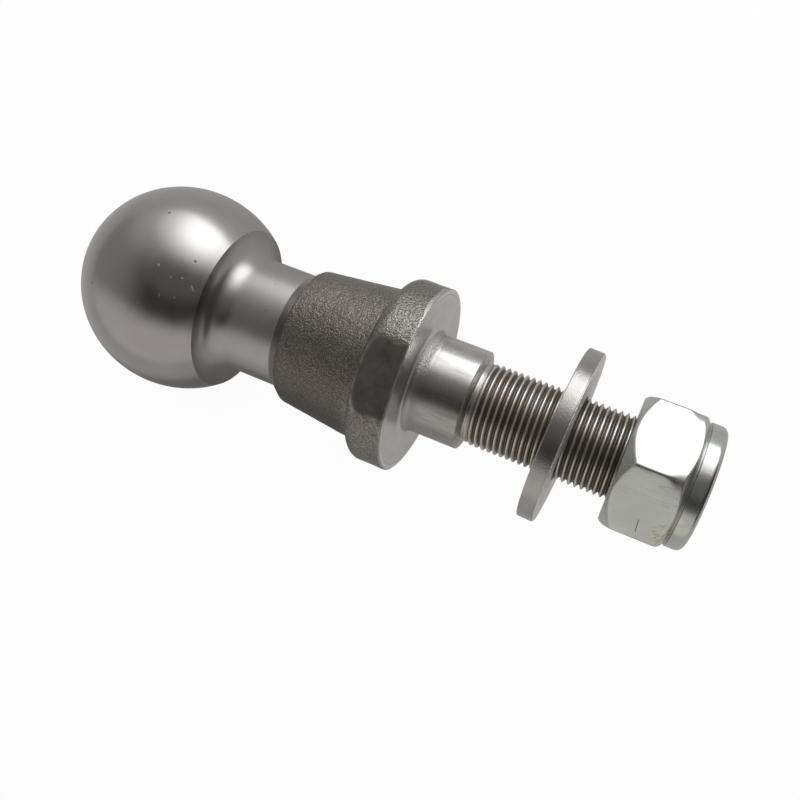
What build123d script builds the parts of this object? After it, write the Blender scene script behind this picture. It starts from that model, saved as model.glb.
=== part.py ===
"""Tow ball with a bolt-on shank: forged ball stud, loose flat washer and nylon-insert lock nut.

The part lies on its side with a wrench flat down, as it does on a bench. Millimetres.
Origin: centre of the flange's seating face, on the stud's axis.
+X runs along the axis from the ball towards the nut, and +Z is up, square to the wrench flats.
"""
import math
import os

from build123d import *

# Ball
BALL_DIAMETER = 50.0
BALL_HEIGHT = 65.0  # seating face to ball centre
BALL_CUT_DIAMETER = 40.0  # where the ball is turned off towards the neck

# Neck
NECK_DIAMETER = 28.5
NECK_COVE_RADIUS = 5.6
COVE_STEP_SHARE = 0.98  # the most that the cove may take of the step from ball to neck

# Forged cone
BODY_LENGTH = 30.4  # seating face to the cone's small end
SMALL_END_DIAMETER = 33.3
SMALL_END_CHAMFER = 2.6  # length along the axis
CONE_HALF_ANGLE = 6.2

# Flange
FLANGE_DIAMETER = 45.2
FLANGE_THICKNESS = 9.7
FLANGE_CORNER_SHARE = 0.84  # radius of the back corner, as a share of the flange's step
FLATS_ACROSS = 42.0
SEAT_EDGE_CHAMFER = 0.45

# Shank
SHANK_DIAMETER = 24.0
SHANK_LENGTH = 13.3
SEAT_FILLET = 2.0
SHOULDER_LENGTH = 0.8
BLANK_DIAMETER = 19.05  # rolled thread's blank, bare between shoulder and thread
BLANK_LENGTH = 1.2

# Thread M20 x 1.5, as a plain cylinder over its crests
THREAD_DIAMETER = 19.86
THREAD_END_CHAMFER = 1.4
STUD_END = 63.0  # seating face to the stud's end

# Washer, loose: it stands on its rim and the thread lies in its hole
WASHER_DIAMETER = 41.2
WASHER_THICKNESS = 3.9
WASHER_HOLE_CLEARANCE = 0.37  # on the radius, over the thread's crests
WASHER_EDGE_CHAMFER = 0.35
WASHER_POSITION = 35.0  # seating face to the washer's middle
WASHER_LEAN = -0.5  # turn about +Y, degrees
WASHER_SWING = -2.2  # turn about +Z, degrees
WASHER_SLACK = 0.03  # left between the hole and the crests that lie in it

# Lock nut
NUT_ACROSS_FLATS = 30.0
NUT_BEARING_FACE = 49.1  # seating face to the nut's bearing face
NUT_CORNER_ANGLE = 82.2  # direction of one hexagon corner, from +Y towards +Z
HEXAGON_LENGTH = 14.7
BEARING_DIAMETER = 28.7
BEARING_CHAMFER_ANGLE = 45.0
COLLAR_CHAMFER_ANGLE = 35.0
COLLAR_DIAMETER = 29.0
COLLAR_LENGTH = 4.2
COLLAR_WALL = 1.5
COLLAR_CROWN_RADIUS = 1.6
GROOVE_WIDTH = 0.45
GROOVE_DEPTH = 0.3
RIM_THICKNESS = 1.2  # metal rolled over the insert
RIM_OPENING_DIAMETER = 23.0
THREAD_CLEARANCE = 0.07  # nut bore over the stud's thread, on the radius
NUT_COUNTERSINK = 0.9

# Nylon insert
INSERT_THICKNESS = 3.4
INSERT_CLEARANCE = 0.05  # to the collar, on the radius and at each end
INSERT_BORE_CLEARANCE = 0.09  # over the stud's thread, on the radius

# Places along the axis
BALL_X = -BALL_HEIGHT
BALL_RADIUS = BALL_DIAMETER / 2
BALL_CUT_X = BALL_X + math.sqrt(BALL_RADIUS**2 - (BALL_CUT_DIAMETER / 2) ** 2)
SMALL_END_X = -BODY_LENGTH
NECK_END_X = SMALL_END_X - SMALL_END_CHAMFER
FLANGE_BACK_X = -FLANGE_THICKNESS
SHOULDER_X = SHANK_LENGTH
BLANK_X = SHOULDER_X + SHOULDER_LENGTH
THREAD_X = BLANK_X + BLANK_LENGTH
HEXAGON_END_X = NUT_BEARING_FACE + HEXAGON_LENGTH
NUT_END_X = HEXAGON_END_X + COLLAR_LENGTH
POCKET_END_X = NUT_END_X - RIM_THICKNESS
POCKET_X = POCKET_END_X - INSERT_THICKNESS - 2 * INSERT_CLEARANCE

# Rounded edges are cut in this many chords
CHORDS_A_CORNER = 3

# Radii that mating pieces share
THREAD_RADIUS = THREAD_DIAMETER / 2
NUT_BORE_RADIUS = THREAD_RADIUS + THREAD_CLEARANCE
POCKET_RADIUS = COLLAR_DIAMETER / 2 - COLLAR_WALL
HEXAGON_CORNER_RADIUS = NUT_ACROSS_FLATS / math.sqrt(3)


def slope(degrees):
    """Rise for each unit of run at this angle."""
    return math.tan(math.radians(degrees))


def turned(*outline):
    """Solid of revolution about the X axis from (x, radius) points, closed along the axis."""
    first, last = outline[0], outline[-1]
    closed = [(first[0], 0), *outline, (last[0], 0)]
    return revolve(make_face(Polyline(*closed, close=True)), Axis.X)


def ring(*outline):
    """Solid of revolution about the X axis from the (x, radius) points of a closed section."""
    return revolve(make_face(Polyline(*outline, close=True)), Axis.X)


def rounded(face, x, radius, size):
    """Face with its corner at (x, radius) rounded to the given size."""
    corner = face.vertices().sort_by_distance((x, radius, 0))[0]
    return fillet(corner, size)


def edge_round(x, radius, size, towards_start):
    """Section points that round a turned edge at (x, radius) in a few chords, from start to end.

    The solid lies on the far side in X when towards_start is true, and on the near side if not.
    """
    steps = [math.pi / 2 * i / CHORDS_A_CORNER for i in range(CHORDS_A_CORNER + 1)]
    if towards_start:
        return [(x + size * (1 - math.sin(a)), radius - size * (1 - math.cos(a))) for a in reversed(steps)]
    return [(x - size * (1 - math.sin(a)), radius - size * (1 - math.cos(a))) for a in steps]


def turned_ball_and_body():
    """Everything of the stud that is turned or forged round, without the flats."""
    cone_foot = SMALL_END_DIAMETER / 2 + (BODY_LENGTH - FLANGE_THICKNESS) * slope(CONE_HALF_ANGLE)
    neck, cut = NECK_DIAMETER / 2, BALL_CUT_DIAMETER / 2
    flange, shank, edge = FLANGE_DIAMETER / 2, SHANK_DIAMETER / 2, SEAT_EDGE_CHAMFER
    corner = FLANGE_CORNER_SHARE * (flange - cone_foot)
    blank, chamfer = BLANK_DIAMETER / 2, THREAD_END_CHAMFER
    cove = min(NECK_COVE_RADIUS, COVE_STEP_SHARE * (cut - neck))
    ball = ThreePointArc((BALL_X - BALL_RADIUS, 0), (BALL_X, BALL_RADIUS), (BALL_CUT_X, cut))
    rest = Polyline(
        (BALL_CUT_X, cut),
        (BALL_CUT_X, neck),
        (NECK_END_X, neck),
        (SMALL_END_X, SMALL_END_DIAMETER / 2),
        (FLANGE_BACK_X, cone_foot),
        *edge_round(FLANGE_BACK_X, flange, corner, towards_start=True),
        (-edge, flange),
        (0, flange - edge),
        (0, shank),
        (SHOULDER_X, shank),
        (BLANK_X, blank),
        (THREAD_X, blank),
        (THREAD_X + (THREAD_RADIUS - blank), THREAD_RADIUS),
        (STUD_END - chamfer, THREAD_RADIUS),
        (STUD_END, THREAD_RADIUS - chamfer),
        (STUD_END, 0),
        (BALL_X - BALL_RADIUS, 0),
    )
    face = make_face([ball, rest])
    face = rounded(face, BALL_CUT_X, neck, cove)
    face = rounded(face, 0, shank, SEAT_FILLET)
    return revolve(face, Axis.X)


def wrench_flats():
    """Two blocks that cut the flats across the flange, above and below the axis."""
    height = FLANGE_DIAMETER / 2
    block = Box(FLANGE_THICKNESS, FLANGE_DIAMETER, height)
    middle = (FLATS_ACROSS + height) / 2
    return [Pos(FLANGE_BACK_X / 2, 0, side * middle) * block for side in (1, -1)]


def make_ball_stud():
    return turned_ball_and_body() - wrench_flats()


def washer_rise():
    """How far the washer's centre stands above the stud's axis."""
    lean_loss = WASHER_THICKNESS / 2 * slope(abs(WASHER_LEAN))
    return WASHER_HOLE_CLEARANCE - lean_loss - WASHER_SLACK


def make_flat_washer():
    hole = THREAD_RADIUS + WASHER_HOLE_CLEARANCE
    rim, half, edge = WASHER_DIAMETER / 2, WASHER_THICKNESS / 2, WASHER_EDGE_CHAMFER
    flat = ring(
        (-half, hole),
        (-half, rim - edge),
        (-half + edge, rim),
        (half - edge, rim),
        (half, rim - edge),
        (half, hole),
    )
    return Pos(WASHER_POSITION, 0, washer_rise()) * Rot(0, WASHER_LEAN, WASHER_SWING) * flat


def hexagon():
    """Hexagonal bar of the nut, chamfered at both ends."""
    outline = RegularPolygon(
        NUT_ACROSS_FLATS / 2, 6, major_radius=False, rotation=NUT_CORNER_ANGLE
    )
    bar = extrude(Plane.YZ.offset(NUT_BEARING_FACE) * outline, HEXAGON_LENGTH)
    bearing, outer = BEARING_DIAMETER / 2, HEXAGON_CORNER_RADIUS
    collar = COLLAR_DIAMETER / 2 - GROOVE_DEPTH
    bearing_run = (outer - bearing) / slope(BEARING_CHAMFER_ANGLE)
    collar_run = (outer - collar) * slope(COLLAR_CHAMFER_ANGLE)
    envelope = turned(
        (NUT_BEARING_FACE, bearing),
        (NUT_BEARING_FACE + bearing_run, outer),
        (HEXAGON_END_X - collar_run, outer),
        (HEXAGON_END_X, collar),
    )
    return bar & envelope


def collar():
    """Round collar that holds the insert, with a groove at its foot and a crowned end."""
    outer = COLLAR_DIAMETER / 2
    groove_end = HEXAGON_END_X + GROOVE_WIDTH
    return turned(
        (HEXAGON_END_X, outer - GROOVE_DEPTH),
        (groove_end - GROOVE_DEPTH, outer - GROOVE_DEPTH),
        (groove_end, outer),
        *edge_round(NUT_END_X, outer, COLLAR_CROWN_RADIUS, towards_start=False),
    )


def nut_hollow():
    """Threaded bore with its countersink, the insert's pocket and the rim's opening."""
    bore, opening = NUT_BORE_RADIUS, RIM_OPENING_DIAMETER / 2
    return turned(
        (NUT_BEARING_FACE, bore + NUT_COUNTERSINK),
        (NUT_BEARING_FACE + NUT_COUNTERSINK, bore),
        (POCKET_X, bore),
        (POCKET_X, POCKET_RADIUS),
        (POCKET_END_X, POCKET_RADIUS),
        (POCKET_END_X, opening),
        (NUT_END_X, opening),
    )


def make_lock_nut():
    return hexagon() + collar() - nut_hollow()


def make_nylon_insert():
    start, end = POCKET_X + INSERT_CLEARANCE, POCKET_END_X - INSERT_CLEARANCE
    outer, bore = POCKET_RADIUS - INSERT_CLEARANCE, THREAD_RADIUS + INSERT_BORE_CLEARANCE
    return ring((start, bore), (start, outer), (end, outer), (end, bore))


def main():
    os.makedirs("parts", exist_ok=True)
    pieces = {
        "ball_stud": make_ball_stud(),
        "flat_washer": make_flat_washer(),
        "lock_nut": make_lock_nut(),
        "nylon_insert": make_nylon_insert(),
    }
    for name, piece in pieces.items():
        solids = piece.solids()
        export_step(solids[0] if len(solids) == 1 else piece, f"parts/{name}.step")
        print(name, len(solids), "solid", round(sum(s.volume for s in solids) / 1000, 3), "cm3")


main()
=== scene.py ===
import math

import bmesh
import bpy
import numpy as np
from mathutils import Matrix, Vector, noise


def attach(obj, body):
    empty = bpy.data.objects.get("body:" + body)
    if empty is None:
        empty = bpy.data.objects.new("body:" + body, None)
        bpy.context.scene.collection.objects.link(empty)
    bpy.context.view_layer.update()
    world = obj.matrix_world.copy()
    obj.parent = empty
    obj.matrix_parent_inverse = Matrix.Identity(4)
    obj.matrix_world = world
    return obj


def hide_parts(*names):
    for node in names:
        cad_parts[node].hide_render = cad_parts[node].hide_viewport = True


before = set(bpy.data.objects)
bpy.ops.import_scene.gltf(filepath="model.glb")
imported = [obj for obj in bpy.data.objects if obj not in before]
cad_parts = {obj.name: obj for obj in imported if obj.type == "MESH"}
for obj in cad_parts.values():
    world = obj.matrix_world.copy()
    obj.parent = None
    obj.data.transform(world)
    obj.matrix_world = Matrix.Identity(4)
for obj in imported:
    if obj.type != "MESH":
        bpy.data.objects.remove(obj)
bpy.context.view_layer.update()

# Lengths are in millimetres and angles in degrees, unless a comment says otherwise.
# The origin is the centre of the flange's seating face, +X runs along the axis to the nut, and +Z is up.
MM = 0.001

# Ball and neck
BALL_X, BALL_R = -65.0, 25.0
BALL_CUT_R = 20.0  # where the ball is turned off towards the neck
BALL_CUT_X = BALL_X + math.sqrt(BALL_R**2 - BALL_CUT_R**2)
BALL_POLE_R = 0.01  # radius of the first ring of points, at the ball's far end
NECK_R, NECK_END_X = 14.25, -33.0
COVE_R = 5.5
# Nick marks on the ball, each with a painted glint: where each starts, where it ends and how wide it is
BALL_NICKS_AND_GLINTS = [
    ((-59.9, 6.0, 23.7), (-59.6, 5.8, 23.8), 0.16),
    ((-54.4, 4.8, 22.1), (-54.3, 4.9, 22.0), 0.15),
    ((-56.4, 4.3, 23.1), (-56.4, 4.2, 23.1), 0.11),
    ((-52.1, 3.8, 21.1), (-51.5, 2.9, 20.8), 0.12),
    ((-57.6, -0.1, 23.9), (-57.5, -0.6, 23.9), 0.11),
    ((-54.4, 0.3, 22.7), (-54.4, 0.1, 22.7), 0.10),
]
NICK_FADE = 1.7  # a nick's mark and its painted glint are gone at this many times its width
BALL_PITS = [(-64.5, 17.2, 18.1), (-53.5, 9.2, 20.2), (-75.9, -3.6, 22.2)]
BALL_PIT_SIZE = 0.35

# Forged cone and flange
SMALL_END_X, SMALL_END_R = -30.4, 16.65
CONE_SLOPE = math.tan(math.radians(6.2))
CHAMFER_LEAD = 0.2  # the small end's chamfer has finer rows, which start this far before it
CHAMFER_SHARE = 0.88  # slope of that chamfer, as a share of the straight line's, so that it reaches further
FLANGE_BACK_X, FLANGE_R = -9.7, 22.6
FLANGE_CORNER_R = 3.1
FLAT_Z = 21.0
SEAT_EDGE = 0.3
SEAT_LINE_R, SEAT_LINE_HALF, SEAT_LINE_DEPTH = 21.3, 0.12, 0.03  # fine line turned into the seat
FORGING_SHIFT = (-0.3, 0.03)  # the forging lies off the turned axis, in Y and Z
FLANGE_SHIFT_SHARE = 0.6  # share of that offset at the flange
FOOT_BLEND, FOOT_END = 2.4, 0.6  # one offset passes into the other over this length, this far from the flange
SKIN_INSET = 0.3  # the rough skin begins this far past the small end
SKIN_FADE_IN, SKIN_FADE_OUT = 0.5, 0.3  # lengths over which it comes in there and goes out at the seat

# Shank and thread
SHANK_R, SHANK_END_X = 12.0, 13.3
SEAT_FILLET = 2.0
BLANK_X, BLANK_R = 14.1, 9.53
THREAD_START_X, THREAD_RUN_IN = 14.6, 1.7  # its depth is full after the run-in
THREAD_OVERLAP, THREAD_CORE_R = 0.1, 8.9  # the shank's surface ends inside the thread, down to this radius
STUD_END_X, STUD_CHAMFER = 63.0, 1.4
PITCH = 1.5
CREST_R, ROOT_R = 9.93, 9.06
CREST_PHASE = 0.36  # fraction of a turn that sets where the crests lie
ROOT_SHARE, FLANK_SHARE = 0.16, 0.70  # of the way along the axis from root to crest
FLANK_EASE = 0.25  # how far the flank's ends are rounded, from 0 to 1
CUT_END_SHADE = 0.62  # height that gives the cut end the colour of bare steel

# Washer
WASHER_X, WASHER_R, WASHER_HOLE_R = 35.0, 20.6, 10.3
WASHER_HALF = 1.95  # half its thickness
WASHER_RISE = 0.323  # its middle's height over the axis, so that the thread lies in its hole
WASHER_LEAN, WASHER_SWING = -0.5, -2.2

# Lock nut and its insert
NUT_X, HEX_END_X, NUT_END_X = 49.1, 63.8, 68.0
HEX_FLAT_R, BEARING_R = 15.0, 14.35
CORNER_MARGIN = 0.25  # the turned shape stands this far out of the hexagon's corners before they are cut
NUT_CORNERS = [82.2 + 60 * i for i in range(6)]  # directions of the hexagon's corners
NUT_ROUNDING = 0.35  # of an unworn corner
NUT_WEAR = (1.4, 0.5, 1.2, 1.0, 1.4, 1.7)  # rounding of each corner at the collar end
NUT_WEAR_LENGTH, NUT_WEAR_RISE = 5.8, 3.6  # wear starts this far from the collar, and is full after the rise
NUT_WEAR_SPREAD = 13.0  # width of the worn part round the axis, in degrees
NUT_SCRATCH = ((56.8, -9.0, 12.5), (57.1, -11.8, 11.4))
NUT_SCRATCH_SIZE = 0.13
NUT_RUST, NUT_RUST_SIZE = (62.6, -10.4, 12.0), 3.4
NUT_WORN_TIP, NUT_WORN_SIZE = (62.3, 2.3, 16.7), 2.4
COLLAR_R, COLLAR_CROWN, COLLAR_CHAMFER_ANGLE = 14.5, 1.6, 35
GROOVE_DEPTH, GROOVE_FLOOR, GROOVE_WIDTH = 0.3, 0.15, 0.45
GROOVE_DARK_LINES = ((0.03, 0.05), (0.36, 0.42))  # dark lines in the groove: from and to how far past the hexagon
RIM_OPENING_R, RIM_THICKNESS = 11.5, 1.2
NUT_BORE_R, COUNTERSINK = 10.0, 0.9
NUT_CREST_R, NUT_THREAD_GAP = 9.24, 0.06  # the gap is between the two threads, on the radius
NUT_THREAD_INSET, NUT_THREAD_RUN_OUT = 0.3, 0.5
POCKET_R, POCKET_X = 13.0, 63.3
INSERT_X, INSERT_END_X = 63.35, 66.75
INSERT_R, INSERT_BORE_R = 12.95, 10.02

# Width over which cut edges are rounded: at the cone's chamfer, at the wrench flats and on the hexagon
CHAMFER_BLEND, FLAT_BLEND, HEX_BLEND = 0.12, 0.22, 0.16

# Unevenness: how high it is, the size of its waves and its seed
SEED_SHIFT = (17.1, 5.3, 9.7)  # how far each seed moves the waves
SKIN_FINE, SKIN_BROAD = (0.03, 1.3, 1), (0.06, 5.0, 2)
FLAT_WAVES = (0.02, 3.0, 5)
WASHER_FACE_WAVES = (0.03, 7.0, 3)
WASHER_RADIUS_WAVES = (0.0015, 5.0, 4)  # high as a share of the radius
NUT_DENTS = (0.03, 3.5, 6)

# How finely the surfaces are divided
BALL_ROWS = 56
ARC_STEP = 11
STUD_COLUMNS, THREAD_COLUMNS = 330, 120
NUT_COLUMNS, NUT_THREAD_COLUMNS = 300, 96
WASHER_COLUMNS, INSERT_COLUMNS = 180, 120
STUD_OFFSETS, NUT_OFFSETS = (0.25, 0.8, 1.5), (0.35, 0.9, 1.6)  # of the extra columns beside an edge
# Places of the thread's rows within a turn, as fractions of it
THREAD_STEPS = (0.0, 0.05, 0.09, 0.16, 0.25, 0.34, 0.42, 0.5, 0.58, 0.66, 0.75, 0.84, 0.91, 0.95)
# Joints and edges
RING_GAP = 0.01  # a closed section ends this far short of its start
SHARP_ANGLE = 32
WELD_GAP = 0.0001
TURNED, FORGED = 0, 1  # places of the two steels in the stud's list of materials

# Camera: where it stands, its axes, its sensor and lens, its shift in widths of the picture, its near limit
CAMERA_PLACE = (47.109, 26.334, 190.832)
CAMERA_RIGHT = (0.90804, 0.33187, -0.25558)
CAMERA_UP = (-0.36103, 0.92947, -0.07577)
CAMERA_SENSOR, CAMERA_LENS = 36.0, 37.894
CAMERA_SHIFT = (-0.0424, 0.0127)
CAMERA_CLIP = 5.0

# Lamps: name, azimuth, elevation, distance in metres, size in metres, power in watts, colour
LAMPS = [
    ("window", 83, 16, 1.2, (0.74, 0.52), 8.5, (0.93, 0.965, 1.0)),
    ("overhead", 20, 75, 1.5, (1.4, 1.4), 11.0, (1.0, 0.99, 0.975)),
]
LAMP_TARGET = (-20.0, 0.0, 0.0)

# Floor: half its side, and how far it lies below the ball
FLOOR_HALF, FLOOR_GAP = 3000.0, 0.02
OBJECT_REACH = 1400.0  # the paper within this reach keeps a little of the object's shadow
BALL_SHADOW_PLACE, BALL_SHADOW_REACH = (BALL_X, -30.0, -BALL_R), 75.0  # painted shadow on the paper beside the ball, which its dark side mirrors
# Share of plain white that the camera sees in the paper near the object, that metal sees in it, and that
# metal sees in the painted shadow beside the ball
WHITE_NEAR, WHITE_MIRRORED, WHITE_IN_BALL_SHADOW = 0.94, 0.25, 0.10

# Room that the metal mirrors: its level away from the walls, the gain on all its light, and its glows.
# A glow is how it joins the rest, its azimuth and elevation, the angles where it is full and gone, its level.
ROOM_DARK, ROOM_GAIN = 0.043, 1.08
ROOM_GLOWS = [
    ("MAXIMUM", (-115, 0), 36, 65, 0.65),
    ("MAXIMUM", (-91, 4), 36, 59, 0.70),
    ("MAXIMUM", (175, 4), 35, 86, 0.30),
    ("ADD", (79, 11), 9, 34, 1.20),
    ("ADD", (79, 11), 10, 51, 1.38),
    ("ADD", (99, 9), 6, 65, 0.39),
    ("ADD", (62, 57), 30, 45, 0.11),
    ("ADD", (-45, 32), 6, 16, 0.21),
]
ROOM_WARM, ROOM_COOL = (1.0, 0.985, 0.965), (0.92, 0.970, 1.0)
DAYLIGHT_LEVELS = (0.8, 2.2)  # the room's light turns from warm to cool between these


# Shaping

def ramp(value, start, length):
    """Rise from 0 to 1 that begins at start and takes the given length."""
    return np.clip((value - start) / length, 0, 1)


def smooth_step(value):
    """The same rise with both its ends eased."""
    t = np.clip(value, 0, 1)
    return t * t * (3 - 2 * t)


def soft_min(a, b, blend):
    """The smaller of a and b, with their crossing rounded over about the blend's width."""
    return (a + b - np.sqrt((a - b) ** 2 + blend**2)) / 2


def relief(grid, height, wave, seed):
    """Smooth noise over a grid of points, up to the given height either way."""
    shift = Vector([seed * step for step in SEED_SHIFT])
    values = [noise.noise(Vector(point) / wave + shift) for point in grid.reshape(-1, 3)]
    return height * np.array(values).reshape(grid.shape[:2])


# Outlines

def straight(a, b, step):
    """Points from a up to but not including b, no further apart than step."""
    count = max(1, math.ceil(math.dist(a, b) / step))
    return [tuple(np.array(a) + (np.array(b) - np.array(a)) * i / count) for i in range(count)]


def corner_arc(before, corner, after, radius):
    """Points of the arc that rounds a corner between two straight runs."""
    p, q, r = (np.array(v, float) for v in (before, corner, after))
    to_p, to_r = (p - q) / np.linalg.norm(p - q), (r - q) / np.linalg.norm(r - q)
    half = math.acos(float(np.clip(to_p @ to_r, -1, 1))) / 2
    middle = to_p + to_r
    centre = q + middle / np.linalg.norm(middle) * radius / math.sin(half)
    start, end = q + to_p * radius / math.tan(half), q + to_r * radius / math.tan(half)
    a0, a1 = (math.atan2(*(v - centre)[::-1]) for v in (start, end))
    sweep = (a1 - a0 + math.pi) % (2 * math.pi) - math.pi
    count = max(2, math.ceil(abs(math.degrees(sweep)) / ARC_STEP))
    angles = [a0 + sweep * i / count for i in range(count + 1)]
    return [tuple(centre + radius * np.array((math.cos(a), math.sin(a)))) for a in angles]


def outline(corners, step):
    """Section line through (x, r, rounding) corners, with runs divided at the given step."""
    points = [corners[0][:2]]
    for i in range(1, len(corners)):
        here = corners[i][:2]
        if i + 1 < len(corners) and corners[i][2] > 0:
            arc = corner_arc(corners[i - 1][:2], here, corners[i + 1][:2], corners[i][2])
        else:
            arc = [here]
        points += straight(points[-1], arc[0], step)[1:] + arc
    return np.array(points)


def ball_section():
    """Section of the ball from its pole to where it is cut."""
    last = math.pi - math.asin(BALL_CUT_R / BALL_R)
    turns = np.linspace(0.0, last, BALL_ROWS)
    section = np.stack([BALL_X - BALL_R * np.cos(turns), BALL_R * np.sin(turns)], axis=1)
    section[0, 1] = BALL_POLE_R
    return section


def even_angles(count):
    """Even angles round the axis, in radians."""
    return np.radians(np.arange(0, 360, 360 / count))


def angles_with_detail(count, spots, offsets):
    """Even angles round the axis, in radians, with extra ones beside the given spots."""
    spacing = 360 / count
    extra = [spot + side * off for spot in spots for off in offsets for side in (-1, 1)]
    even = [a for a in np.arange(0, 360, spacing)
            if all(abs((a - e + 180) % 360 - 180) > spacing / 3 for e in extra)]
    return np.radians(sorted(even + [e % 360 for e in extra]))


# Meshes

def lathe(section, angles):
    """Grid of points from a section of (x, r) turned about X."""
    x, r = section[:, :1], section[:, 1:]
    flat = np.broadcast_to(x, (len(section), len(angles)))
    return np.stack([flat, r * np.cos(angles), r * np.sin(angles)], axis=2)


def grid_mesh(name, grid, seam=True, closed_ends=False, bands=None):
    """Mesh of a grid of rows of points, joined round its columns if it has a seam.

    Its UV map holds the share of the way round, and the distance along the section.
    """
    rows, cols = grid.shape[:2]
    verts = (grid.reshape(-1, 3) * MM).tolist()
    faces, uvs, slots = [], [], []
    along = np.concatenate([[0], np.cumsum(np.linalg.norm(np.diff(grid, axis=0), axis=2).mean(axis=1))])
    for i in range(rows - 1):
        for j in range(cols if seam else cols - 1):
            k = (j + 1) % cols
            faces.append((i * cols + j, i * cols + k, (i + 1) * cols + k, (i + 1) * cols + j))
            u0, u1 = j / cols, (j + 1) / cols
            uvs += [(u0, along[i]), (u1, along[i]), (u1, along[i + 1]), (u0, along[i + 1])]
            slots.append(bands[i] if bands is not None else 0)
    if closed_ends:
        for row, flip in ((0, True), (rows - 1, False)):
            loop = [row * cols + j for j in range(cols)]
            faces.append(tuple(loop[::-1] if flip else loop))
            uvs += [(0.5, along[row])] * cols
            slots.append(slots[0 if flip else -1])
    mesh = bpy.data.meshes.new(name)
    mesh.from_pydata(verts, [], faces)
    layer = mesh.uv_layers.new(name="UVMap")
    layer.data.foreach_set("uv", np.array(uvs, float).ravel())
    mesh.polygons.foreach_set("material_index", slots)
    mesh.shade_smooth()
    mesh.set_sharp_from_angle(angle=math.radians(SHARP_ANGLE))
    return mesh


def piece(name, mesh, node, body, materials):
    """Makes the object for a mesh, which stands for a solid and rides on its body."""
    obj = bpy.data.objects.new(name, mesh)
    bpy.context.scene.collection.objects.link(obj)
    for material in materials:
        mesh.materials.append(material)
    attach(obj, body)
    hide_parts(node)


# Threads

def thread_profile(phase):
    """Thread's radius for a phase in turns: a rounded root, straight flanks and a narrow crest."""
    wave = np.abs((phase % 1.0) - 0.5) * 2  # 1 at the crest, 0 at the root
    rise = ramp(wave, ROOT_SHARE, FLANK_SHARE)
    return ROOT_R + (CREST_R - ROOT_R) * ((1 - FLANK_EASE) * rise + FLANK_EASE * smooth_step(rise))


def stud_thread_radius(x, phase):
    """Radius of the stud's thread, shallow at its start and cut by the end's chamfer."""
    deep = ramp(x, THREAD_START_X, THREAD_RUN_IN)
    radius = BLANK_R + (thread_profile(phase) - BLANK_R) * deep
    end = CREST_R - (x - (STUD_END_X - STUD_CHAMFER))
    return np.minimum(radius, end)


def nut_thread_radius(x, phase):
    """Radius of the nut's thread, which runs just clear of the stud's and opens at both ends."""
    radius = np.maximum(thread_profile(phase) + NUT_THREAD_GAP, NUT_CREST_R)
    past_end = np.maximum(NUT_X + COUNTERSINK - x, x - POCKET_X + NUT_THREAD_RUN_OUT)
    return np.maximum(radius, NUT_BORE_R + past_end)


def helix_grid(start_x, end_x, columns, radius_at):
    """Grid of rows that follow the thread's helix, between two flat ends."""
    turn = np.linspace(0.0, 1.0, columns + 1)
    angle = 2 * math.pi * turn
    first = math.floor((start_x / PITCH) - 1)
    last = math.ceil(end_x / PITCH + 1)
    rows = []
    for whole in range(first, last + 1):
        for step in THREAD_STEPS:
            x = np.clip((whole + step + turn + CREST_PHASE) * PITCH, start_x, end_x)
            r = radius_at(x, whole + step)
            rows.append(np.stack([x, r * np.cos(angle), r * np.sin(angle)], axis=1))
    return np.array(rows)


def weld(mesh):
    """Joins the helix where its turns meet and removes what its held ends leave with no area."""
    work = bmesh.new()
    work.from_mesh(mesh)
    bmesh.ops.remove_doubles(work, verts=work.verts, dist=WELD_GAP * MM)
    bmesh.ops.dissolve_degenerate(work, edges=work.edges, dist=WELD_GAP * MM)
    work.to_mesh(mesh)
    work.free()


def paint_depth(mesh, low, high, cut_x=math.inf):
    """Stores how high each point stands between two radii, for the thread's colour.

    What lies past cut_x is a cut face of bare steel.
    """
    coords = np.empty(len(mesh.vertices) * 3)
    mesh.vertices.foreach_get("co", coords)
    coords = coords.reshape(-1, 3) / MM
    height = np.clip((np.hypot(coords[:, 1], coords[:, 2]) - low) / (high - low), 0, 1)
    height[coords[:, 0] > cut_x] = CUT_END_SHADE
    attribute = mesh.attributes.new("height", "FLOAT", "POINT")
    attribute.data.foreach_set("value", height)


# Stud

def stud_section():
    """Section of the stud from the ball's pole to the thread, and the steel of each run between rows."""
    chamfer_start = (NECK_END_X - CHAMFER_LEAD, NECK_R, 0)
    small_end = (SMALL_END_X, SMALL_END_R, 0)
    foot_r = SMALL_END_R + (FLANGE_BACK_X - SMALL_END_X) * CONE_SLOPE
    seat_rim = (0, FLANGE_R - SEAT_EDGE, 0)
    overlap_x = THREAD_START_X + THREAD_OVERLAP
    neck = outline([(BALL_CUT_X, BALL_CUT_R, 0), (BALL_CUT_X, NECK_R, COVE_R), chamfer_start], step=1.2)
    chamfer = outline([chamfer_start, (NECK_END_X, NECK_R, 0.3), small_end], step=0.25)
    cone = outline([
        small_end, (FLANGE_BACK_X, foot_r, 0.5), (FLANGE_BACK_X, FLANGE_R, FLANGE_CORNER_R),
        (-SEAT_EDGE, FLANGE_R, 0.12), seat_rim,
    ], step=0.36)
    seat = outline([
        seat_rim, (0, SEAT_LINE_R + SEAT_LINE_HALF, 0), (-SEAT_LINE_DEPTH, SEAT_LINE_R, 0),
        (0, SEAT_LINE_R - SEAT_LINE_HALF, 0), (0, SHANK_R, SEAT_FILLET),
        (SHANK_END_X, SHANK_R, 0.35), (BLANK_X, BLANK_R, 0.25),
        (overlap_x, BLANK_R - 0.02, 0), (overlap_x, THREAD_CORE_R, 0),
    ], step=0.9)
    runs = [(ball_section(), TURNED), (neck[1:], TURNED), (chamfer[1:], TURNED),
            (cone[1:], FORGED), (seat[1:], TURNED)]
    section = np.concatenate([run for run, _ in runs])
    steels = np.concatenate([[steel] * len(run) for run, steel in runs])
    return section, steels[1:]


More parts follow.
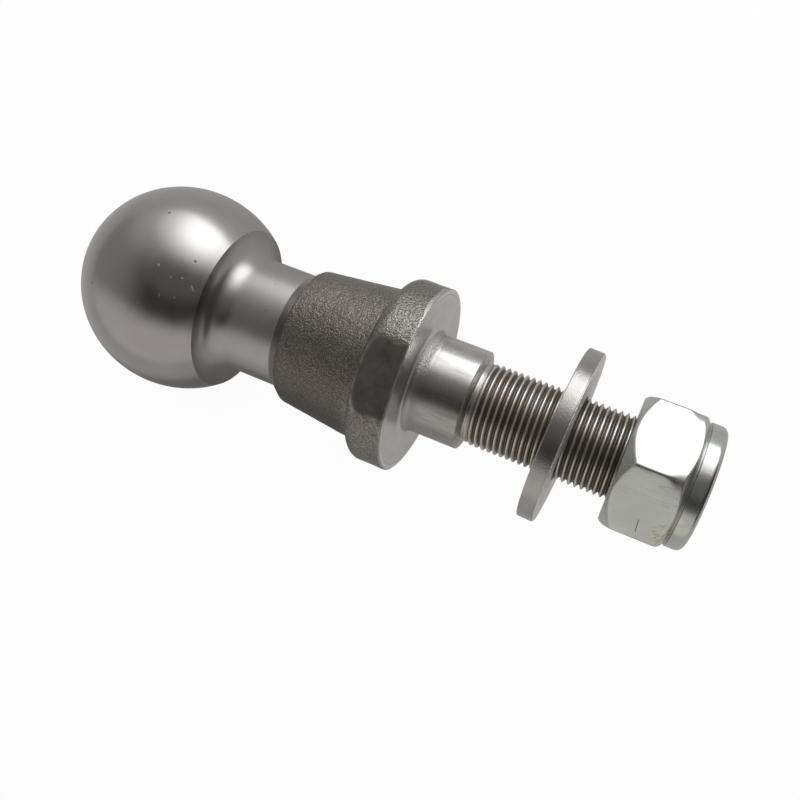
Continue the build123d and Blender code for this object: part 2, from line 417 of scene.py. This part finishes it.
def forging_radius(x, radius, angles):
    """Radius of the forging, which lies off the axis, and of the turned surfaces on both sides of it."""
    lean = FORGING_SHIFT[0] * np.cos(angles) + FORGING_SHIFT[1] * np.sin(angles)
    rise = (SMALL_END_R - NECK_R) / (SMALL_END_X - NECK_END_X)
    chamfer = NECK_R + (x - NECK_END_X) * CHAMFER_SHARE * rise
    cone = soft_min(chamfer, SMALL_END_R + (x - SMALL_END_X) * CONE_SLOPE + lean, CHAMFER_BLEND)
    flange = radius + FLANGE_SHIFT_SHARE * lean
    near_foot = ramp(x, FLANGE_BACK_X - FOOT_END - FOOT_BLEND, FOOT_BLEND)
    forged = (x > NECK_END_X + 0.1) & (x < -SEAT_EDGE + 0.05)
    return np.where(forged, cone * (1 - near_foot) + flange * near_foot, radius)


def stud_grid(section, angles):
    """Points of the stud's surface, with the forging's offset, rough skin and flats."""
    grid = lathe(section, angles)
    x = grid[:, :, 0]
    radius = np.hypot(grid[:, :, 1], grid[:, :, 2])
    rough = ramp(x, SMALL_END_X + SKIN_INSET, SKIN_FADE_IN) * ramp(-x, SEAT_EDGE, SKIN_FADE_OUT)
    skin = relief(grid, *SKIN_FINE) + relief(grid, *SKIN_BROAD)
    shaped = forging_radius(x, radius, angles) + rough * skin
    grid[:, :, 1:] *= (shaped / radius)[:, :, None]
    z = grid[:, :, 2].copy()
    across = np.abs(z)
    cut = soft_min(across, FLAT_Z + rough * relief(grid, *FLAT_WAVES), FLAT_BLEND)
    near_flat = (x > FLANGE_BACK_X - 1.0) & (across > SHANK_R)
    grid[:, :, 2] = np.where(near_flat, np.sign(z) * cut, z)
    return grid


def make_stud(turned, forged, threaded):
    """The stud: its lathe-turned and forged surface, and its thread."""
    edge = math.degrees(math.acos(FLAT_Z / FLANGE_R))
    edges = [side + way * edge for side in (90, 270) for way in (-1, 1)]
    section, steels = stud_section()
    grid = stud_grid(section, angles_with_detail(STUD_COLUMNS, edges, STUD_OFFSETS))
    body = grid_mesh("stud_body", grid, bands=steels)
    piece("stud_body", body, "ball_stud", "stud", [turned, forged])
    helix = helix_grid(THREAD_START_X, STUD_END_X, THREAD_COLUMNS, stud_thread_radius)
    thread = grid_mesh("stud_thread", helix, seam=False, closed_ends=True)
    weld(thread)
    paint_depth(thread, ROOT_R, CREST_R, cut_x=STUD_END_X - 0.01)
    piece("stud_thread", thread, "ball_stud", "stud", [threaded])


# Washer

def make_washer(steel):
    """The loose washer, slightly uneven, where it leans on the thread."""
    half, rim, hole = WASHER_HALF, WASHER_R, WASHER_HOLE_R
    start_r = (hole + rim) / 2
    section = outline([
        (-half, start_r, 0), (-half, rim, 0.3), (half, rim, 0.55), (half, hole, 0.3),
        (-half, hole, 0.3), (-half, start_r - RING_GAP, 0),
    ], step=0.8)
    grid = lathe(section, even_angles(WASHER_COLUMNS))
    grid[:, :, 0] += relief(grid, *WASHER_FACE_WAVES)
    grid[:, :, 1:] *= (1 + relief(grid, *WASHER_RADIUS_WAVES))[:, :, None]
    lean = Matrix.Rotation(math.radians(WASHER_LEAN), 3, "Y")
    swing = Matrix.Rotation(math.radians(WASHER_SWING), 3, "Z")
    grid = grid @ np.array(lean @ swing).T + np.array((WASHER_X, 0, WASHER_RISE))
    piece("washer", grid_mesh("washer", grid), "flat_washer", "stud", [steel])


# Nut and insert

def nut_section():
    """Section of the nut's shell, from the bore's mouth round the outside to the insert's pocket."""
    corner_r = HEX_FLAT_R / math.cos(math.radians(30)) + CORNER_MARGIN
    bearing_run = corner_r - BEARING_R
    groove_r = COLLAR_R - GROOVE_DEPTH
    collar_run = (corner_r - groove_r) * math.tan(math.radians(COLLAR_CHAMFER_ANGLE))
    rim_x = NUT_END_X - RIM_THICKNESS
    return outline([
        (NUT_X + COUNTERSINK, NUT_BORE_R, 0), (NUT_X, NUT_BORE_R + COUNTERSINK, 0.1),
        (NUT_X, BEARING_R, 0.35), (NUT_X + bearing_run, corner_r, 0), (HEX_END_X - collar_run, corner_r, 0),
        (HEX_END_X, groove_r, 0.12), (HEX_END_X + GROOVE_FLOOR, groove_r, 0.05),
        (HEX_END_X + GROOVE_WIDTH, COLLAR_R, 0.12), (NUT_END_X, COLLAR_R, COLLAR_CROWN),
        (NUT_END_X, RIM_OPENING_R, 0.45), (rim_x, RIM_OPENING_R, 0.1),
        (rim_x, POCKET_R, 0.1), (POCKET_X, POCKET_R, 0.1), (POCKET_X, NUT_BORE_R, 0),
    ], step=0.3)


def corner_rounding(x, angles):
    """Width over which the hexagon's corners are rounded, wider at the collar end where they are worn."""
    worn = smooth_step((x - (HEX_END_X - NUT_WEAR_LENGTH)) / NUT_WEAR_RISE)
    width = np.full(x.shape, NUT_ROUNDING)
    for corner, wear in zip(NUT_CORNERS, NUT_WEAR):
        off = (np.degrees(angles) - corner + 180) % 360 - 180
        width += (wear - NUT_ROUNDING) * worn * np.exp(-((off / NUT_WEAR_SPREAD) ** 2))
    return width


def hexagon_radius(x, angles):
    """Distance from the axis to the hexagon's side at each place."""
    rounding = corner_rounding(x, angles)
    far = 99.0  # stands for a side that faces away
    least = 0.3  # cosine from which a side counts as facing
    near = np.full(x.shape, far)
    for corner in NUT_CORNERS:
        facing = np.cos(angles - math.radians(corner + 30))
        side = np.where(facing > least, HEX_FLAT_R / np.maximum(facing, least), far)
        near = soft_min(near, side, rounding)
    return near


def nut_grid(angles):
    """Points of the nut's shell, with the hexagon's sides cut and slightly dented."""
    grid = lathe(nut_section(), angles)
    x = grid[:, :, 0]
    radius = np.hypot(grid[:, :, 1], grid[:, :, 2])
    cut = soft_min(radius, hexagon_radius(x, angles), HEX_BLEND) + relief(grid, *NUT_DENTS)
    on_hexagon = (x > NUT_X + 0.01) & (x < HEX_END_X) & (radius > BEARING_R - 0.5)
    shaped = np.where(on_hexagon, cut, radius)
    grid[:, :, 1:] *= (shaped / radius)[:, :, None]
    return grid


def make_nut(zinc, threaded):
    """The lock nut: its plated shell, and its thread."""
    grid = nut_grid(angles_with_detail(NUT_COLUMNS, NUT_CORNERS, NUT_OFFSETS))
    piece("nut_shell", grid_mesh("nut_shell", grid), "lock_nut", "nut", [zinc])
    helix = helix_grid(NUT_X + NUT_THREAD_INSET, POCKET_X, NUT_THREAD_COLUMNS, nut_thread_radius)
    bore = grid_mesh("nut_thread", helix, seam=False)
    weld(bore)
    bore.flip_normals()
    paint_depth(bore, NUT_BORE_R, NUT_CREST_R)
    piece("nut_thread", bore, "lock_nut", "nut", [threaded])


def make_insert(nylon):
    """The locking ring in the nut's pocket."""
    middle = (INSERT_X + INSERT_END_X) / 2
    section = outline([
        (middle, INSERT_R, 0), (INSERT_END_X, INSERT_R, 0.2), (INSERT_END_X, INSERT_BORE_R, 0.5),
        (INSERT_X, INSERT_BORE_R, 0.4), (INSERT_X, INSERT_R, 0.2), (middle - RING_GAP, INSERT_R, 0),
    ], step=0.5)
    mesh = grid_mesh("insert_ring", lathe(section, even_angles(INSERT_COLUMNS)))
    piece("insert_ring", mesh, "nylon_insert", "insert", [nylon])


# Nodes

class Nodes:
    """A tree of shader nodes, with short calls that add nodes and join them."""

    def __init__(self, tree):
        self.nodes = tree.nodes
        self.links = tree.links

    def add(self, kind, inputs=None, **settings):
        """New node with its settings, and with each given input linked or set."""
        node = self.nodes.new(kind)
        for key, value in settings.items():
            setattr(node, key, value)
        for key, value in (inputs or {}).items():
            self.join(value, node.inputs[key])
        return node

    def join(self, value, socket):
        """Links a socket to another one, or sets its own value; colours come without an alpha."""
        if isinstance(value, bpy.types.NodeSocket):
            self.links.new(value, socket)
        elif socket.type == "RGBA":
            socket.default_value = (*value, 1)
        else:
            socket.default_value = value

    def math(self, operation, *values):
        """Result of an operation on one or two values, and then on that result and each further value."""
        result = values[0]
        for value in values[1:] or (0.0,):
            result = self.add("ShaderNodeMath", {0: result, 1: value}, operation=operation).outputs[0]
        return result

    def vector(self, operation, a, b=(0, 0, 0), output="Vector"):
        """Result of an operation on two vectors."""
        return self.add("ShaderNodeVectorMath", {0: a, 1: b}, operation=operation).outputs[output]

    def spread(self, value, low, high, to_low=0.0, to_high=1.0, **settings):
        """A value carried from one range to another, and held within it."""
        ranges = {"From Min": low, "From Max": high, "To Min": to_low, "To Max": to_high}
        return self.add("ShaderNodeMapRange", {"Value": value, **ranges}, **settings).outputs[0]

    def spread_mm(self, value, low, high, to_low=0.0, to_high=1.0):
        """The same for a length, with its own range in millimetres."""
        return self.spread(value, low * MM, high * MM, to_low, to_high)

    def span(self, value, low, high, blend):
        """Mask that is 1 where a length lies between two others, with soft ends."""
        rise = self.spread_mm(value, low - blend, low)
        return self.math("MULTIPLY", rise, self.spread_mm(value, high, high + blend, 1.0, 0.0))

    def tint(self, factor, first, second):
        """Colour between two others: the first at a factor of 0, the second at 1."""
        mix = self.add("ShaderNodeMix", {0: factor, 6: first, 7: second}, data_type="RGBA")
        return mix.outputs[2]

    def paint(self, color, coats):
        """Colour with each (mask, colour) coat laid over it in turn."""
        for mask, coat in coats:
            color = self.tint(mask, color, coat)
        return color

    def seen_directly(self, paths):
        """1 for what the camera sees, straight or through glass, and 0 for all other rays."""
        return self.math("MAXIMUM", paths.outputs["Is Camera Ray"], paths.outputs["Is Transmission Ray"])


class Shader(Nodes):
    """A new material and its nodes."""

    def __init__(self, name):
        self.material = bpy.data.materials.new(name)
        self.material.use_nodes = True
        super().__init__(self.material.node_tree)
        self.surface = self.nodes["Principled BSDF"]

    def place(self):
        """Position on the object, in metres."""
        return self.add("ShaderNodeTexCoord").outputs["Object"]

    def axes(self, vector):
        """The three values of a vector."""
        return self.add("ShaderNodeSeparateXYZ", {0: vector}).outputs[:]

    def along_section(self):
        """Distance along the section, in millimetres."""
        uv = self.add("ShaderNodeUVMap", uv_map="UVMap").outputs[0]
        return self.axes(uv)[1]

    def noise(self, vector, scale, detail=3.0, rough=0.5):
        """Noise with this many waves to the metre."""
        values = {"Vector": vector, "Scale": scale, "Detail": detail, "Roughness": rough}
        return self.add("ShaderNodeTexNoise", values).outputs["Fac"]

    def lines(self, place, scale, detail):
        """Noise that changes along one value only, for turning marks."""
        values = {"W": place, "Scale": scale, "Detail": detail}
        return self.add("ShaderNodeTexNoise", values, noise_dimensions="1D").outputs["Fac"]

    def stretched(self, vector, stretch):
        """Position with its axes stretched, for noise that is drawn out."""
        return self.add("ShaderNodeMapping", {"Vector": vector, "Scale": stretch}).outputs[0]

    def spots(self, vector, scale, size, share):
        """Mask of small round spots: about this share of the cells has one."""
        cells = self.add("ShaderNodeTexVoronoi", {"Vector": vector, "Scale": scale})
        lone = self.add("ShaderNodeSeparateColor", {0: cells.outputs["Color"]})
        chosen = self.math("GREATER_THAN", lone.outputs[0], 1 - share)
        near = self.spread(cells.outputs["Distance"], size, size * 0.5)
        return self.math("MULTIPLY", near, chosen)

    def off_middle(self, value):
        """How far noise is from its middle: its smallest values run in thin lines."""
        return self.math("ABSOLUTE", self.math("SUBTRACT", value, 0.5))

    def scratches(self, place, stretch, scale, width, share):
        """Mask of hairline scratches that run one way, and leave bare areas between them."""
        field = self.noise(self.stretched(place, stretch), scale, 2.0)
        line = self.spread(self.off_middle(field), width, width * 0.4)
        patch = self.spread(self.noise(place, 160.0, 2.0), 0.62 - share, 0.66 - share)
        return self.math("MULTIPLY", line, patch)

    def near_point(self, place, point, size):
        """Mask of a round mark at a point."""
        gap = self.vector("DISTANCE", place, Vector(point) * MM, "Value")
        return self.spread_mm(gap, size, 0.5 * size)

    def near_line(self, place, start, end, size):
        """Mask of a thin mark along a line between two points."""
        a, run = Vector(start) * MM, (Vector(end) - Vector(start)) * MM
        off = self.vector("SUBTRACT", place, a)
        along = self.vector("DOT_PRODUCT", off, run / run.length_squared, "Value")
        share = self.math("MINIMUM", self.math("MAXIMUM", along, 0.0), 1.0)
        foot = self.add("ShaderNodeVectorMath", {0: run, "Scale": share}, operation="SCALE").outputs[0]
        return self.spread_mm(self.vector("DISTANCE", off, foot, "Value"), size, 0.4 * size)

    def bump(self, layers):
        """Normal from a list of (height, strength, distance)."""
        normal = None
        for height, strength, distance in layers:
            inputs = {"Height": height, "Strength": strength, "Distance": distance * MM}
            if normal is not None:
                inputs["Normal"] = normal
            normal = self.add("ShaderNodeBump", inputs).outputs[0]
        self.join(normal, self.surface.inputs["Normal"])

    def finish(self, color, roughness, metallic=1.0):
        """The finished material."""
        self.join(color, self.surface.inputs["Base Color"])
        self.join(roughness, self.surface.inputs["Roughness"])
        self.join(metallic, self.surface.inputs["Metallic"])
        return self.material


# Materials

def seat_color(s, place):
    """Colour of the seating face, with the line turned into it and the brighter ring outside that."""
    radius = s.vector("LENGTH", s.vector("MULTIPLY", place, (0, 1, 1)), output="Value")
    soil = s.noise(place, 230.0, 4.0, 0.6)
    face = s.tint(s.spread(soil, 0.35, 0.65), (0.62, 0.602, 0.574), (0.69, 0.672, 0.642))
    ring = s.spread_mm(radius, SEAT_LINE_R, SEAT_LINE_R + 0.1)
    line = s.span(radius, SEAT_LINE_R - 0.08, SEAT_LINE_R, 0.09)
    return s.paint(face, [(ring, (0.75, 0.735, 0.705)), (line, (0.46, 0.440, 0.416))])


def ball_nicks_and_glints(s, place):
    """Mask of each nick on the ball, which also carries its painted glint."""
    marks = [s.near_line(place, start, end, width * NICK_FADE) for start, end, width in BALL_NICKS_AND_GLINTS]
    return s.math("MAXIMUM", *marks)


def turned_steel():
    """Bright steel of the ball, neck, seat and shank, with turning marks, stains and pits, nick marks with
    painted glints, and painted light on the shank's +Y side.
    """
    s = Shader("turned_steel")
    place, run = s.place(), s.along_section()
    x, y, _ = s.axes(place)
    fine, bands = s.lines(run, 3.2, 2.0), s.lines(run, 0.45, 2.0)
    cloud = s.noise(place, 70.0, 4.0)
    stains = s.noise(s.stretched(place, (0.22, 1.0, 1.0)), 420.0, 4.0, 0.6)
    pits = s.spots(place, 300.0, 0.06, 0.45)
    nicks_and_glints = ball_nicks_and_glints(s, place)
    face = s.span(x, -SEAT_EDGE - 0.03, 0.4, 0.1)
    fillet = s.span(x, 0.4 * SEAT_FILLET, 1.3 * SEAT_FILLET, 1.0)
    shank = s.spread_mm(x, SEAT_FILLET + 0.5, SEAT_FILLET + 2.5)
    patches = s.math("MULTIPLY", s.spread(stains, 0.46, 0.70, 0.0, 0.50), shank)
    ball_side = s.spread_mm(x, NECK_END_X - 3.0, NECK_END_X - 1.0, 1.0, 0.3)

    steel = s.tint(s.spread(cloud, 0.3, 0.7), (0.365, 0.342, 0.330), (0.42, 0.396, 0.383))
    # painted light: the shank's steel is lighter on its +Y side, which the window lamp lights
    lit_and_clean = s.tint(s.spread_mm(y, -2.0, 6.0), (0.375, 0.355, 0.338), (0.54, 0.522, 0.505))
    color = s.paint(steel, [
        (shank, lit_and_clean),
        (patches, (0.24, 0.200, 0.185)),
        (s.math("MULTIPLY", pits, ball_side), (0.16, 0.13, 0.12)),
        (face, seat_color(s, place)),
        # painted glints: each nick is painted near white, on top of its dent
        (nicks_and_glints, (0.95, 0.90, 0.88)),
    ])
    color = s.paint(color, [(s.near_point(place, point, BALL_PIT_SIZE), (0.13, 0.115, 0.11))
                            for point in BALL_PITS])
    rough = s.math(
        "ADD",
        s.spread(cloud, 0.3, 0.7, 0.22, 0.26),
        s.spread(bands, 0.35, 0.65, -0.01, 0.015),
        s.spread_mm(x, BALL_CUT_X - 0.1, BALL_CUT_X + 0.1, 0.0, 0.075),
        s.math("MULTIPLY", fillet, 0.06),
        s.math("MULTIPLY", shank, -0.08),
        s.math("MULTIPLY", patches, 0.20),
    )
    torn = s.math("MULTIPLY", fillet, s.spread_mm(y, 1.0, 6.0, 0.12, 1.0))
    speckle = s.math("MULTIPLY", s.noise(place, 2600.0, 3.0, 0.6), torn)
    s.bump([(fine, 0.05, 0.02), (pits, -0.7, 0.15), (nicks_and_glints, -1.0, 0.3), (cloud, 0.08, 0.2),
            (speckle, 0.9, 0.25), (s.math("MULTIPLY", stains, shank), 0.08, 0.2)])
    return s.finish(color, rough)


def forged_color(s, x, y, cloud, grain):
    """Colour of the forging's skin: brighter on the flange's rim, with painted shade on the cone's side
    towards -Y.
    """
    rim = s.spread_mm(x, FLANGE_BACK_X - 0.8, FLANGE_BACK_X + 1.2)
    bright = s.tint(rim, (0.285, 0.256, 0.230), (0.380, 0.352, 0.322))
    skin = s.tint(s.spread(grain, 0.35, 0.66), (0.140, 0.121, 0.107), bright)
    on_cone = s.spread_mm(x, FLANGE_BACK_X - 2.8, FLANGE_BACK_X + 0.2, 1.0, 0.0)
    # painted shade: the cone's side towards -Y, away from the window lamp, is darkened
    painted_cone_shade = s.math("MULTIPLY", s.spread_mm(y, -1.0, -13.0, 0.0, 0.55), on_cone)
    return s.paint(skin, [
        (s.spread(cloud, 0.4, 0.7, 0.0, 0.4), (0.150, 0.128, 0.113)),
        (painted_cone_shade, (0.052, 0.042, 0.036)),
    ])


def forged_steel():
    """Dark blasted skin of the cone and the flange, with the smoother wrench flats."""
    s = Shader("forged_steel")
    place = s.place()
    x, y, z = s.axes(place)
    grain, coarse = s.noise(place, 2500.0, 2.0), s.noise(place, 700.0, 2.0)
    cloud, smear = s.noise(place, 90.0), s.noise(place, 330.0, 4.0, 0.6)
    height = s.math("ADD", s.math("ABSOLUTE", z), s.spread(smear, 0.3, 0.7, -0.12 * MM, 0.12 * MM))
    skin = s.spread_mm(height, FLAT_Z - 0.50, FLAT_Z - 0.10, 1.0, 0.16)
    reach = s.spread(smear, 0.30, 0.62, 0.2 * MM, 1.1 * MM)
    lip = s.math("MULTIPLY", s.spread_mm(y, 12.0, 16.0, 0.12, 1.0), reach)
    edge = s.spread_mm(s.math("ADD", x, lip), -0.25, -0.10)

    flat = s.tint(s.spread(smear, 0.34, 0.64), (0.228, 0.207, 0.187), (0.348, 0.325, 0.294))
    color = s.paint(flat, [(skin, forged_color(s, x, y, cloud, grain)), (edge, (0.46, 0.440, 0.41))])
    s.bump([(s.math("MULTIPLY", coarse, skin), 0.35, 0.4), (s.math("MULTIPLY", grain, skin), 0.8, 0.26),
            (smear, 0.12, 0.2), (edge, 0.5, 0.15)])
    return s.finish(color, s.spread(grain, 0.3, 0.7, 0.36, 0.28))


def threaded_steel():
    """Steel of the threads: bright crests, dirt in the roots."""
    s = Shader("threaded_steel")
    place = s.place()
    height = s.add("ShaderNodeAttribute", attribute_name="height").outputs["Fac"]
    # how clean the thread is: its height, varied by noise
    lit_and_clean = s.math("ADD", height, s.spread(s.noise(place, 120.0), 0.3, 0.7, -0.12, 0.10))
    color = s.tint(s.spread(lit_and_clean, 0.05, 0.80), (0.15, 0.122, 0.103), (0.64, 0.596, 0.548))
    s.bump([(s.noise(place, 2200.0, 2.0), 0.25, 0.08)])
    return s.finish(color, s.spread(height, 0.2, 0.9, 0.44, 0.32))


def washer_steel():
    """Steel of the washer: a satin rim, and gritty faces with dull patches."""
    s = Shader("washer_steel")
    place = s.place()
    cloud, grit = s.noise(place, 110.0, 4.0), s.noise(place, 2800.0, 3.0, 0.6)
    pits = s.spots(place, 420.0, 0.15, 0.12)
    dull = s.spread(s.noise(place, 380.0, 4.0, 0.6), 0.52, 0.66, 0.0, 0.45)
    normal = s.add("ShaderNodeTexCoord").outputs["Normal"]
    face = s.spread(s.math("ABSOLUTE", s.axes(normal)[0]), 0.6, 0.85)

    rim = s.tint(s.spread(cloud, 0.35, 0.65), (0.33, 0.309, 0.292), (0.44, 0.420, 0.400))
    worn = s.tint(s.spread(grit, 0.36, 0.60), (0.66, 0.64, 0.62), (0.97, 0.95, 0.92))
    color = s.paint(rim, [
        (face, s.tint(dull, worn, (0.40, 0.38, 0.36))),
        (pits, (0.10, 0.085, 0.08)),
    ])
    rough = s.math("ADD", s.spread(cloud, 0.3, 0.7, 0.21, 0.27), s.math("MULTIPLY", face, 0.16))
    face_grit = s.math("MULTIPLY", grit, s.spread(face, 0.0, 1.0, 0.14, 1.0))
    s.bump([(cloud, 0.2, 0.4), (face_grit, 0.9, 0.3), (pits, -0.9, 0.3)])
    return s.finish(color, rough)


def zinc_plate():
    """Bright plating of the nut, with scratches, a rusty patch, dark lines in the collar's groove, and dirt
    on the collar.
    """
    s = Shader("zinc_plate")
    place = s.place()
    x, _, z = s.axes(place)
    cloud, fine = s.noise(place, 130.0, 5.0, 0.6), s.noise(place, 900.0)
    scuffs = s.spots(place, 300.0, 0.10, 0.05)
    high_up = s.spread_mm(z, HEX_FLAT_R - 1.5, HEX_FLAT_R, 0.0, 0.5)
    streaks = s.math("MULTIPLY", s.scratches(place, (0.25, 3.0, 3.0), 150.0, 0.020, 0.16), high_up)
    scratch = s.near_line(place, *NUT_SCRATCH, NUT_SCRATCH_SIZE)
    patch = s.near_point(place, NUT_RUST, NUT_RUST_SIZE)
    rust = s.math("MULTIPLY", patch, s.spread(s.off_middle(fine), 0.040, 0.012, 0.0, 0.6))
    lines = [s.span(x, HEX_END_X + start, HEX_END_X + end, 0.05) for start, end in GROOVE_DARK_LINES]
    groove = s.math("MAXIMUM", *lines)
    collar = s.spread_mm(x, HEX_END_X + 0.2, HEX_END_X + 0.6)
    dirt = s.spread(s.noise(place, 260.0, 4.0, 0.6), 0.48, 0.66, 0.0, 0.45)
    worn = s.near_point(place, NUT_WORN_TIP, NUT_WORN_SIZE)

    plate = s.tint(s.spread(cloud, 0.3, 0.7), (0.48, 0.490, 0.455), (0.60, 0.608, 0.578))
    color = s.paint(plate, [
        (scuffs, (0.40, 0.40, 0.37)),
        (streaks, (0.33, 0.328, 0.305)),
        (s.math("MULTIPLY", patch, 0.4), (0.58, 0.560, 0.460)),
        (rust, (0.22, 0.200, 0.150)),
        (scratch, (0.12, 0.115, 0.10)),
        (groove, (0.20, 0.190, 0.170)),
        (s.math("MULTIPLY", collar, dirt), (0.36, 0.335, 0.280)),
        (worn, (0.44, 0.42, 0.39)),
    ])
    rough = s.math("ADD", s.spread(cloud, 0.3, 0.7, 0.24, 0.33), s.math("MULTIPLY", worn, 0.14))
    s.bump([(cloud, 0.22, 0.4), (fine, 0.12, 0.06), (scuffs, -0.4, 0.15), (rust, -0.6, 0.15),
            (scratch, -0.8, 0.2)])
    return s.finish(color, s.math("SUBTRACT", rough, s.math("MULTIPLY", collar, 0.07)))


def nylon():
    """Natural nylon of the insert."""
    s = Shader("nylon")
    place = s.place()
    cloud = s.noise(place, 400.0)
    color = s.tint(cloud, (0.80, 0.79, 0.74), (0.88, 0.88, 0.84))
    s.bump([(s.noise(place, 1800.0, 2.0), 0.15, 0.05)])
    return s.finish(color, s.spread(cloud, 0.3, 0.7, 0.42, 0.52), metallic=0.0)


def floor_paper():
    """White paper: plain white to the camera, lit paper to the object, a dimmer one to the metal, with a
    painted shadow beside the ball that only the metal sees.
    """
    s = Shader("floor_paper")
    place = s.place()
    paths = s.add("ShaderNodeLightPath")
    by_metal = paths.outputs["Is Glossy Ray"]
    near_object = s.near_point(place, (0, 0, -BALL_R), OBJECT_REACH)
    painted_ball_shadow = s.near_point(place, BALL_SHADOW_PLACE, BALL_SHADOW_REACH)
    white_seen = s.spread(near_object, 0.0, 1.0, 1.0, WHITE_NEAR)
    white_mirrored = s.spread(painted_ball_shadow, 0.0, 1.0, WHITE_MIRRORED, WHITE_IN_BALL_SHADOW)
    share = s.math(
        "MAXIMUM",
        s.math("MULTIPLY", s.seen_directly(paths), white_seen),
        s.math("MULTIPLY", by_metal, white_mirrored),
    )
    # painted shadow: the paper that metal mirrors is darker beside the ball, towards -Y
    dimmer = s.tint(painted_ball_shadow, (0.41, 0.405, 0.395), (0.20, 0.196, 0.190))
    paper = s.add("ShaderNodeBsdfDiffuse", {"Color": s.tint(by_metal, (0.86, 0.86, 0.85), dimmer)})
    white = s.add("ShaderNodeEmission", {"Color": (1, 1, 1), "Strength": 1.0})
    both = s.add("ShaderNodeMixShader", {0: share, 1: paper.outputs[0], 2: white.outputs[0]})
    s.join(both.outputs[0], s.nodes["Material Output"].inputs["Surface"])
    s.nodes.remove(s.surface)
    return s.material


# Studio

def direction(azimuth, elevation):
    """Unit vector that points that way."""
    a, e = math.radians(azimuth), math.radians(elevation)
    return Vector((math.cos(e) * math.cos(a), math.cos(e) * math.sin(a), math.sin(e)))


def make_floor():
    """Paper that the object lies on, just clear of the ball."""
    half, z = FLOOR_HALF * MM, -(BALL_R + FLOOR_GAP) * MM
    mesh = bpy.data.meshes.new("floor")
    corners = [(-half, -half, z), (half, -half, z), (half, half, z), (-half, half, z)]
    mesh.from_pydata(corners, [], [(0, 1, 2, 3)])
    mesh.materials.append(floor_paper())
    floor = bpy.data.objects.new("floor", mesh)
    bpy.context.scene.collection.objects.link(floor)


def room_level(room):
    """Level of the room's light in each direction, from its glows."""
    where = room.add("ShaderNodeTexCoord").outputs["Generated"]
    level = ROOM_DARK
    for how, centre, inner, outer, amount in ROOM_GLOWS:
        facing = room.vector("DOT_PRODUCT", where, direction(*centre), "Value")
        gone, full = math.cos(math.radians(outer)), math.cos(math.radians(inner))
        glow = room.spread(facing, gone, full, 0.0, amount, interpolation_type="SMOOTHSTEP")
        level = room.math(how, glow, level)
    return level


def make_room():
    """Surroundings that the metal mirrors: dark overhead, pale walls low down, brightest at the window."""
    world = bpy.data.worlds.new("room")
    world.use_nodes = True
    bpy.context.scene.world = world
    room = Nodes(world.node_tree)
    level = room_level(room)
    walls = room.nodes["Background"]
    room.join(room.tint(room.spread(level, *DAYLIGHT_LEVELS), ROOM_WARM, ROOM_COOL), walls.inputs["Color"])
    room.join(room.math("MULTIPLY", level, ROOM_GAIN), walls.inputs["Strength"])
    white = room.add("ShaderNodeBackground", {"Color": (1, 1, 1)})
    direct = room.seen_directly(room.add("ShaderNodeLightPath"))
    both = room.add("ShaderNodeMixShader", {0: direct, 1: walls.outputs[0], 2: white.outputs[0]})
    room.join(both.outputs[0], room.nodes["World Output"].inputs["Surface"])


def make_lamp(name, azimuth, elevation, distance, size, power, color):
    """Lamp that the metal doesn't mirror, because the room's glows stand for it there."""
    light = bpy.data.lights.new(name, "AREA")
    light.shape, light.energy, light.color = "RECTANGLE", power, color
    light.size, light.size_y = size
    lamp = bpy.data.objects.new(name, light)
    aim = direction(azimuth, elevation)
    lamp.location = Vector(LAMP_TARGET) * MM + aim * distance
    lamp.rotation_euler = aim.to_track_quat("Z", "Y").to_euler()
    lamp.visible_glossy = False
    bpy.context.scene.collection.objects.link(lamp)


def make_camera():
    """Camera of the photograph's view."""
    data = bpy.data.cameras.new("camera")
    data.sensor_width, data.lens = CAMERA_SENSOR, CAMERA_LENS
    data.shift_x, data.shift_y = CAMERA_SHIFT
    data.clip_start = CAMERA_CLIP * MM
    camera = bpy.data.objects.new("camera", data)
    right, up = Vector(CAMERA_RIGHT), Vector(CAMERA_UP)
    axes = Matrix((right, up, right.cross(up))).transposed()
    camera.matrix_world = Matrix.Translation(Vector(CAMERA_PLACE) * MM) @ axes.to_4x4()
    bpy.context.scene.collection.objects.link(camera)
    bpy.context.scene.camera = camera


thread_material = threaded_steel()
make_stud(turned_steel(), forged_steel(), thread_material)
make_washer(washer_steel())
make_nut(zinc_plate(), thread_material)
make_insert(nylon())
make_floor()
make_room()
for lamp_values in LAMPS:
    make_lamp(*lamp_values)
make_camera()
bpy.context.scene.view_settings.view_transform = "Standard"
